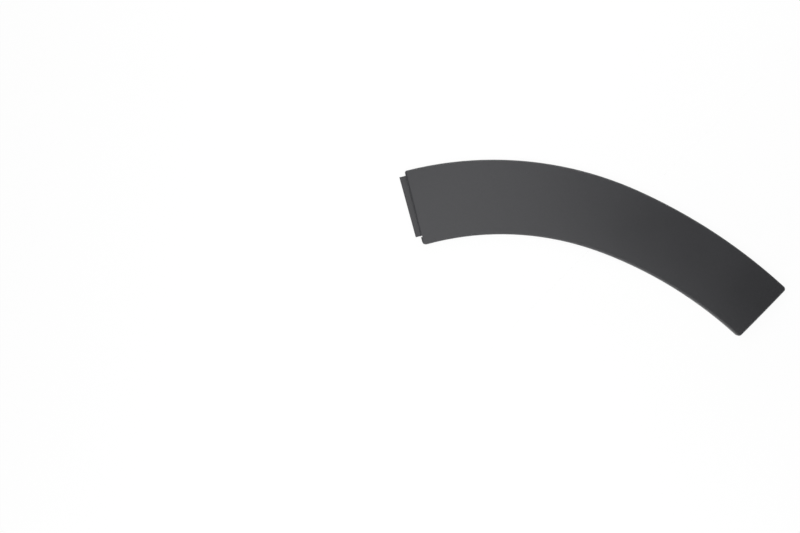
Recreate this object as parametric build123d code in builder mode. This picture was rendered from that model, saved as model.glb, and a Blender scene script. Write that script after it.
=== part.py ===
from build123d import *
from math import asin, cos, degrees, radians, sin, sqrt, tan
import os

# Wheel-arch trim for a bumper: one injection moulding in filled polypropylene. It lies face up
# on its rim, with its length along X and the top of the arch towards +Y.
# Lengths are millimetres. A station is an angle in degrees at the arch centre, clockwise
# from straight up as seen from above, so stations run from the tongue end to the far end.

# Outline in plan
arch_radius = 310.9
arch_tail_radius = 459.0
arch_joint = 20.1
arch_blend = 4.0
band_width = 77.3
outer_shift = 10.1
outer_shift_station = -60.3
outer_joint = 24.1
outer_tail_radius = 605.0
tongue_end_station = -15.93
tongue_end_lean = 2.0
far_end_station = 52.36
far_end_lean = -7.3
far_corner_radius = 3.6
arch_corner_radius = 4.4
outer_corner_radius = 2.4

# Section: a crowned face that falls towards its outer edge, on walls that all end on the rim
wall = 2.5
face_height = 18.0
face_fall = 8.0
crown_radius = 260.0
edge_radius = 2.0

# Tongue that slips under the next trim, its tip slightly askew to the end
tongue_reach = 6.4
tongue_lean = 1.3
tongue_thickness = 2.0
tongue_step = 2.8
tongue_outer_inset = 5.3
tongue_arch_inset = 10.5
relief_width = 1.4
relief_depth = 1.6

# Clip towers on the back, each open towards the far end
tower_stations = (-9.0, 9.0, 27.0, 44.0)
tower_row = 39.0
tower_length = 25.0
tower_width = 23.0
tower_wall = 1.6
tower_seat = 2.0
tower_lift = 1.0
clip_neck = 6.6
clip_mouth = 12.0

# Screw holes through the arch flange: one round to locate it, the others slotted along the
# flange because the trim is long and grows in the sun
screw_station = 16.0
slot_stations = (-8.0, 40.0)
screw_hole = 5.2
slot_play = 4.0
screw_height = 8.0

# Gussets that brace the flange against the face, one on each side of a screw hole
gusset_spread = 5.5
gusset_thickness = 1.3
gusset_height = 11.0
gusset_reach = 12.0

# Tool run-out past the edges that it cuts
overrun = 30.0


def outward(station):
    """Unit vector from the arch centre towards a station."""
    return Vector(sin(radians(station)), cos(radians(station)))


def onward(station):
    """Unit vector along the band at a station, towards the far end."""
    return Vector(cos(radians(station)), -sin(radians(station)))


arch_centre = Vector(0, 0)
blend_radius = (arch_radius + arch_tail_radius) / 2
blend_start = arch_joint - arch_blend / 2
blend_end = arch_joint + arch_blend / 2
blend_centre = outward(blend_start) * (arch_radius - blend_radius)
arch_tail_centre = blend_centre + outward(blend_end) * (blend_radius - arch_tail_radius)
outer_centre = outward(outer_shift_station) * outer_shift
outer_radius = arch_radius + band_width
outer_tail_centre = outer_centre + outward(outer_joint) * (outer_radius - outer_tail_radius)
mid_radius = arch_radius + band_width / 2


def end_cut(station, lean, inward):
    """Upright plane along an end of the band, with its normal into the band."""
    return Plane(
        origin=outward(station) * mid_radius,
        x_dir=outward(station + lean),
        z_dir=onward(station + lean) * inward,
    )


tongue_cut = end_cut(tongue_end_station, tongue_end_lean, 1)
far_cut = end_cut(far_end_station, far_end_lean, -1)


def arch_spot(station):
    """Point on the arch edge, and the station that its wall faces away from the arch."""
    if station <= arch_joint:
        return outward(station) * arch_radius, station
    facing = arch_joint + (station - arch_joint) * arch_radius / arch_tail_radius
    return arch_tail_centre + outward(facing) * arch_tail_radius, facing


def band_plan(inset, tongue_run):
    """The band's plan with its long edges and far end drawn in by inset, and its tongue end run on."""
    lead_in = degrees((overrun + tongue_run) / arch_radius) - tongue_end_station
    run_on = radians(far_end_station) * outer_radius
    with BuildSketch() as plan:
        with BuildLine():
            arch = CenterArc(arch_centre, arch_radius + inset, 90 + lead_in, -lead_in - blend_start)
            CenterArc(blend_centre, blend_radius + inset, 90 - blend_start, -arch_blend)
            arch_tail = CenterArc(
                arch_tail_centre,
                arch_tail_radius + inset,
                90 - blend_end,
                -degrees(run_on / arch_tail_radius),
            )
            outer = CenterArc(outer_centre, outer_radius - inset, 90 + lead_in, -lead_in - outer_joint)
            outer_tail = CenterArc(
                outer_tail_centre,
                outer_tail_radius - inset,
                90 - outer_joint,
                -degrees(run_on / outer_tail_radius),
            )
            Line(arch @ 0, outer @ 0)
            Line(arch_tail @ 1, outer_tail @ 1)
        make_face()
        split(bisect_by=tongue_cut.offset(-tongue_run), keep=Keep.TOP)
        split(bisect_by=far_cut.offset(inset), keep=Keep.TOP)
    return plan.sketch


def end_corners(plan, cut):
    """The two corners of a plan on one of its end cuts, the one on the arch edge first."""
    corners = plan.vertices().sort_by(Axis(cut.origin, cut.z_dir))[:2]
    return corners.sort_by(Axis(cut.origin, cut.x_dir))


# The section stands where the arch edge meets its tail: x runs away from the arch edge, y up
section_plane = Plane(
    origin=outward(arch_joint) * arch_radius, x_dir=outward(arch_joint), z_dir=onward(arch_joint)
)
crown_centre = Vector(
    band_width / 2 - crown_radius * sin(radians(face_fall)),
    face_height - crown_radius * cos(radians(face_fall)),
)


def face_level(distance):
    """Height of the face above the rim at a distance from the arch edge."""
    return crown_centre.Y + sqrt(crown_radius**2 - (distance - crown_centre.X) ** 2)


def under_face(depth):
    """Everything below the crowned face lowered by depth, carried along the arch edge and its tail."""
    half_angle = degrees(asin((band_width / 2 + overrun) / crown_radius))
    with BuildPart() as body:
        with BuildSketch(section_plane) as section:
            with BuildLine():
                crown = CenterArc(
                    crown_centre, crown_radius - depth, 90 - face_fall - half_angle, 2 * half_angle
                )
                low_outer = Vector((crown @ 0).X, -overrun)
                low_inner = Vector((crown @ 1).X, -overrun)
                Polyline(crown @ 0, low_outer, low_inner, crown @ 1)
            make_face()
        revolve(axis=Axis(arch_centre, (0, 0, 1)), revolution_arc=90)
        revolve(section.sketch, axis=Axis(arch_tail_centre, (0, 0, 1)), revolution_arc=-90)
    return body.part


# The hollow behind the face, open to the rim and at the tongue end
with BuildPart() as hollow:
    extrude(band_plan(wall, overrun), amount=face_height + overrun)
    extrude(band_plan(wall, overrun), amount=-overrun)
    add(under_face(wall), mode=Mode.INTERSECT)

# The tongue, parallel to the face and a step below it, with the step wall that carries it.
# A small relief in the end of the face frees its root on the arch side.
arch_corner, outer_corner = end_corners(band_plan(0, 0), tongue_cut)
end_length = (Vector(outer_corner) - Vector(arch_corner)).length
tongue_length = end_length - tongue_outer_inset - tongue_arch_inset
tongue_plane = Plane(
    origin=Vector(arch_corner) + tongue_cut.x_dir * tongue_arch_inset,
    x_dir=tongue_cut.x_dir,
    z_dir=(0, 0, 1),
)
tip_rise = tongue_length / 2 * tan(radians(tongue_lean))
with BuildPart() as tongue:
    with BuildSketch(tongue_plane):
        with BuildLine():
            Polyline(
                (0, -wall),
                (0, tongue_reach - tip_rise),
                (tongue_length, tongue_reach + tip_rise),
                (tongue_length, -wall),
                close=True,
            )
        make_face()
    extrude(amount=face_height + overrun)
    add(under_face(tongue_step), mode=Mode.INTERSECT)
    with BuildSketch(tongue_plane):
        with Locations((0, -wall)):
            Rectangle(tongue_length, wall, align=(Align.MIN, Align.MIN))
    extrude(amount=face_height + overrun)
    add(under_face(wall / 2), mode=Mode.INTERSECT)
    add(under_face(tongue_step + tongue_thickness), mode=Mode.SUBTRACT)

# Towers: three upright walls, and a seat plate with a flared slot that takes the clip's neck
with BuildPart() as towers:
    for station in tower_stations:
        foot, facing = arch_spot(station)
        seat_plane = Plane(
            origin=foot + outward(facing) * tower_row + Vector(0, 0, tower_lift),
            x_dir=onward(facing),
            z_dir=(0, 0, 1),
        )
        with BuildSketch(seat_plane):
            Rectangle(tower_length, tower_width)
            with Locations((tower_wall, 0)):
                Rectangle(tower_length, tower_width - 2 * tower_wall, mode=Mode.SUBTRACT)
        extrude(amount=face_height + overrun)
        with BuildSketch(seat_plane):
            Rectangle(tower_length, tower_width)
            with BuildLine():
                neck_end = ThreePointArc((0, clip_neck / 2), (-clip_neck / 2, 0), (0, -clip_neck / 2))
                mouth_start = tower_length / 2 - (clip_mouth - clip_neck) / 2
                Polyline(
                    neck_end @ 1,
                    (mouth_start, -clip_neck / 2),
                    (tower_length / 2, -clip_mouth / 2),
                    (tower_length / 2, clip_mouth / 2),
                    (mouth_start, clip_neck / 2),
                    neck_end @ 0,
                )
            make_face(mode=Mode.SUBTRACT)
        extrude(amount=tower_seat)
    add(under_face(wall / 2), mode=Mode.INTERSECT)

# Gussets: thin triangles in the corner between the arch flange and the face
screw_stations = (screw_station, *slot_stations)
gusset_stations = [s + side * gusset_spread for s in screw_stations for side in (-1, 1)]
with BuildPart() as gussets:
    for station in gusset_stations:
        foot, facing = arch_spot(station)
        corner = face_level(wall) - wall
        with BuildSketch(Plane(origin=foot, x_dir=outward(facing), z_dir=onward(facing))):
            with BuildLine():
                Polyline(
                    (wall / 2, face_height + overrun),
                    (wall / 2, corner - gusset_height),
                    (wall + gusset_reach, corner),
                    (wall + gusset_reach, face_height + overrun),
                    close=True,
                )
            make_face()
        extrude(amount=gusset_thickness / 2, both=True)
    add(under_face(wall / 2), mode=Mode.INTERSECT)

with BuildPart() as moulding:
    with BuildSketch() as outline:
        add(band_plan(0, 0))
        fillet(end_corners(outline, far_cut), far_corner_radius)
        fillet(end_corners(outline, tongue_cut)[0], arch_corner_radius)
        fillet(end_corners(outline, tongue_cut)[1], outer_corner_radius)
    extrude(amount=face_height + overrun)
    add(under_face(0), mode=Mode.INTERSECT)
    arch_face, tail_face = moulding.faces().sort_by(Axis.Z)[-2:]
    shared_edge = arch_face.edges() & tail_face.edges()
    fillet(arch_face.edges() + tail_face.edges() - shared_edge, edge_radius)
    add(hollow, mode=Mode.SUBTRACT)
    with BuildSketch(tongue_plane):
        Rectangle(relief_width, relief_depth, align=(Align.MAX, Align.MAX))
    extrude(amount=face_height + overrun, mode=Mode.SUBTRACT)
    add(tongue)
    add(towers)
    add(gussets)
    for station in screw_stations:
        foot, facing = arch_spot(station)
        hole_plane = Plane(
            origin=foot + Vector(0, 0, screw_height), x_dir=onward(facing), z_dir=outward(facing)
        )
        with BuildSketch(hole_plane):
            if station == screw_station:
                Circle(screw_hole / 2)
            else:
                SlotCenterToCenter(slot_play, screw_hole)
        extrude(amount=2 * wall, both=True, mode=Mode.SUBTRACT)

# The origin goes under the middle of the whole trim, on the rim
extent = moulding.part.bounding_box()
with BuildPart() as bumper_trim:
    add(moulding.part.moved(Location(-Vector(extent.center().X, extent.center().Y, extent.min.Z))))

os.makedirs("parts", exist_ok=True)
bumper_trim.part.label = "bumper_trim"
export_step(bumper_trim.part, "parts/bumper_trim.step")
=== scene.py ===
import bpy
import numpy as np
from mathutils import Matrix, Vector

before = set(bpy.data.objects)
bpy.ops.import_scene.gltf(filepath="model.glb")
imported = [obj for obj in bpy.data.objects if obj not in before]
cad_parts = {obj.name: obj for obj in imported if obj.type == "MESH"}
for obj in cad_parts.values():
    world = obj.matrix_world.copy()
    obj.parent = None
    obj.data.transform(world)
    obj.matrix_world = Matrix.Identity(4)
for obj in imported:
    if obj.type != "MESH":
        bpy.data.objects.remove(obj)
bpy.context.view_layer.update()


# Trim: one injection moulding in talc-filled polypropylene, coloured dark grey right through.
# The mould is etched with a fine grain on the show side, and its core is smoother, so the
# hollow back comes out with a little more shine. Nothing is painted.
trim_grey = (0.0305, 0.0307, 0.0330, 1)
trim_grey_pale = (0.0350, 0.0352, 0.0378, 1)
flow_size = 0.09
speckle_size = 0.00225
speckle_share = 0.35
noise_low, noise_high = 0.3, 0.7
grain_size = 0.0009
grain_depth = 0.00006
grain_on_back, grain_on_face = 0.15, 0.6
back_roughness = 0.36
face_roughness = (0.42, 0.48)
back_below, face_above = -0.5, -0.1
plastic_ior = 1.49
plastic_specular = 0.27


def wire(tree, source, target):
    """Joins an output socket to an input socket."""
    tree.links.new(source, target)


def noise(tree, place, size, detail):
    """A noise texture on object coordinates whose blotches are about `size` metres across."""
    texture = tree.nodes.new("ShaderNodeTexNoise")
    texture.inputs["Scale"].default_value = 1 / size
    texture.inputs["Detail"].default_value = detail
    wire(tree, place, texture.inputs["Vector"])
    return texture.outputs["Fac"]


def spread(tree, value, low, high, to_low, to_high):
    """Carries a value from the range low..high, clamped, to the range to_low..to_high."""
    node = tree.nodes.new("ShaderNodeMapRange")
    node.inputs["From Min"].default_value = low
    node.inputs["From Max"].default_value = high
    node.inputs["To Min"].default_value = to_low
    node.inputs["To Max"].default_value = to_high
    wire(tree, value, node.inputs["Value"])
    return node.outputs["Result"]


def grained_polypropylene():
    """Dark grey plastic: cloudy flow marks in its colour, an etched grain, and a smoother back."""
    material = bpy.data.materials.new("grained_polypropylene")
    material.use_nodes = True
    tree = material.node_tree
    plastic = tree.nodes["Principled BSDF"]
    plastic.inputs["IOR"].default_value = plastic_ior
    plastic.inputs["Specular IOR Level"].default_value = plastic_specular
    spot = tree.nodes.new("ShaderNodeTexCoord")
    place = spot.outputs["Object"]

    # Where the melt fronts ran, the grey is a shade lighter, with a finer speckle of filler in it.
    clouds = noise(tree, place, flow_size, 3)
    speckle = noise(tree, place, speckle_size, 1)
    shade = tree.nodes.new("ShaderNodeMix")
    shade.data_type = "FLOAT"
    shade.inputs[0].default_value = speckle_share
    wire(tree, clouds, shade.inputs[2])
    wire(tree, speckle, shade.inputs[3])
    tint = tree.nodes.new("ShaderNodeMix")
    tint.data_type = "RGBA"
    tint.inputs[6].default_value = trim_grey
    tint.inputs[7].default_value = trim_grey_pale
    wire(tree, spread(tree, shade.outputs[0], noise_low, noise_high, 0, 1), tint.inputs[0])
    wire(tree, tint.outputs[2], plastic.inputs["Base Color"])

    # The core side of the mould is polished more than its etched show side.
    facing = tree.nodes.new("ShaderNodeSeparateXYZ")
    wire(tree, spot.outputs["Normal"], facing.inputs[0])
    etched = spread(tree, facing.outputs["Z"], back_below, face_above, 0, 1)
    sheen = tree.nodes.new("ShaderNodeMix")
    sheen.data_type = "FLOAT"
    wire(tree, etched, sheen.inputs[0])
    sheen.inputs[2].default_value = back_roughness
    wire(tree, spread(tree, clouds, noise_low, noise_high, *face_roughness), sheen.inputs[3])
    wire(tree, sheen.outputs[0], plastic.inputs["Roughness"])

    grain = tree.nodes.new("ShaderNodeBump")
    grain.inputs["Distance"].default_value = grain_depth
    wire(tree, spread(tree, etched, 0, 1, grain_on_back, grain_on_face), grain.inputs["Strength"])
    wire(tree, noise(tree, place, grain_size, 2), grain.inputs["Height"])
    wire(tree, grain.outputs["Normal"], plastic.inputs["Normal"])
    return material


trim_finish = grained_polypropylene()
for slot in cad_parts["bumper_trim"].material_slots:
    slot.material = trim_finish


# Floor: a broad sheet of white card that the trim lies on. Seen directly or mirrored it is
# plain white, with painted shade (its glow dimmed by ambient occlusion) where the trim closes it
# off, and it still takes the trim's real shadow.
floor_half = 30.0
floor_drop = 0.0003
card_white = (0.85, 0.85, 0.85, 1)
card_roughness = 0.9
card_glow = 0.95
shade_reach = 0.05
shade_dark, shade_clear = 0.05, 0.45

# The sheet is flat: x = u * floor_half and y = v * floor_half, with u and v from -1 to 1.
u, v = np.meshgrid((-1.0, 1.0), (-1.0, 1.0))
sheet_points = (u * floor_half, v * floor_half, np.full_like(u, -floor_drop))
corners = np.stack(sheet_points, axis=-1).reshape(-1, 3)
floor_mesh = bpy.data.meshes.new("floor")
floor_mesh.from_pydata(corners.tolist(), [], [(0, 1, 3, 2)])
floor = bpy.data.objects.new("floor", floor_mesh)
bpy.context.scene.collection.objects.link(floor)

card = bpy.data.materials.new("white_card")
card.use_nodes = True
tree = card.node_tree
paper = tree.nodes["Principled BSDF"]
paper.inputs["Base Color"].default_value = card_white
paper.inputs["Roughness"].default_value = card_roughness
ray = tree.nodes.new("ShaderNodeLightPath")
direct = tree.nodes.new("ShaderNodeMath")
direct.operation = "MAXIMUM"
wire(tree, ray.outputs["Is Camera Ray"], direct.inputs[0])
wire(tree, ray.outputs["Is Glossy Ray"], direct.inputs[1])
seen = tree.nodes.new("ShaderNodeMath")
seen.operation = "MAXIMUM"
wire(tree, direct.outputs[0], seen.inputs[0])
wire(tree, ray.outputs["Is Transmission Ray"], seen.inputs[1])
# Painted shade: ambient occlusion dims the floor's glow close to and under the trim.
painted_shade_occlusion = tree.nodes.new("ShaderNodeAmbientOcclusion")
painted_shade_occlusion.inputs["Distance"].default_value = shade_reach
glow = tree.nodes.new("ShaderNodeEmission")
painted_shade_level = spread(tree, painted_shade_occlusion.outputs["AO"], shade_dark, shade_clear, 0, 1)
wire(tree, painted_shade_level, glow.inputs["Strength"])
sheet = tree.nodes.new("ShaderNodeMixShader")
wire(tree, spread(tree, seen.outputs[0], 0, 1, 0, card_glow), sheet.inputs[0])
wire(tree, paper.outputs["BSDF"], sheet.inputs[1])
wire(tree, glow.outputs["Emission"], sheet.inputs[2])
wire(tree, sheet.outputs["Shader"], tree.nodes["Material Output"].inputs["Surface"])
floor_mesh.materials.append(card)


# Studio: a softbox hangs over the tongue end, so the light falls off along the trim, and a
# smaller one hangs over the wheel side. Low strips on three sides pick out the edges, and the
# room around is almost dark.
room_level = 0.02


def softbox(name, place, aim, width, height, power):
    """A soft rectangular lamp at `place`, turned towards the point `aim`: metres and watts."""
    lamp = bpy.data.lights.new(name, "AREA")
    lamp.shape = "RECTANGLE"
    lamp.size = width
    lamp.size_y = height
    lamp.energy = power
    stand = bpy.data.objects.new(name, lamp)
    stand.location = place
    stand.rotation_euler = (Vector(aim) - Vector(place)).to_track_quat("-Z", "Y").to_euler()
    bpy.context.scene.collection.objects.link(stand)


softbox("overhead", (-0.24, 0.10, 0.55), (-0.24, 0.10, 0.0), 0.58, 1.00, 4.8)
softbox("overhead_wheel_side", (-0.21, -0.45, 0.55), (-0.21, -0.45, 0.0), 0.50, 0.60, 2.1)
softbox("strip_wheel_side", (-0.25, -0.75, 0.14), (-0.15, 0.0, 0.01), 1.00, 0.18, 4.4)
softbox("strip_outer_side", (0.10, 0.75, 0.12), (0.03, 0.0, 0.01), 1.40, 0.18, 8.0)
softbox("strip_far_end", (0.60, -0.62, 0.08), (0.17, -0.08, 0.01), 0.80, 0.12, 4.0)

room = bpy.data.worlds.new("room")
room.use_nodes = True
bpy.context.scene.world = room
tree = room.node_tree
ray = tree.nodes.new("ShaderNodeLightPath")
level = spread(tree, ray.outputs["Is Camera Ray"], 0, 1, room_level, 1)
wire(tree, level, tree.nodes["Background"].inputs["Strength"])
tree.nodes["Background"].inputs["Color"].default_value = (1, 1, 1, 1)


# Camera: a long lens that looks straight down from well above the floor, so the trim is seen
# almost without perspective, right of the middle of the picture.
camera_place = (-0.21184, -0.02082, 3.683)
focal_length = 150
sensor_width = 36

lens = bpy.data.cameras.new("camera")
lens.lens = focal_length
lens.sensor_width = sensor_width
camera = bpy.data.objects.new("camera", lens)
camera.location = camera_place
bpy.context.scene.collection.objects.link(camera)
bpy.context.scene.camera = camera
bpy.context.scene.view_settings.view_transform = "Standard"
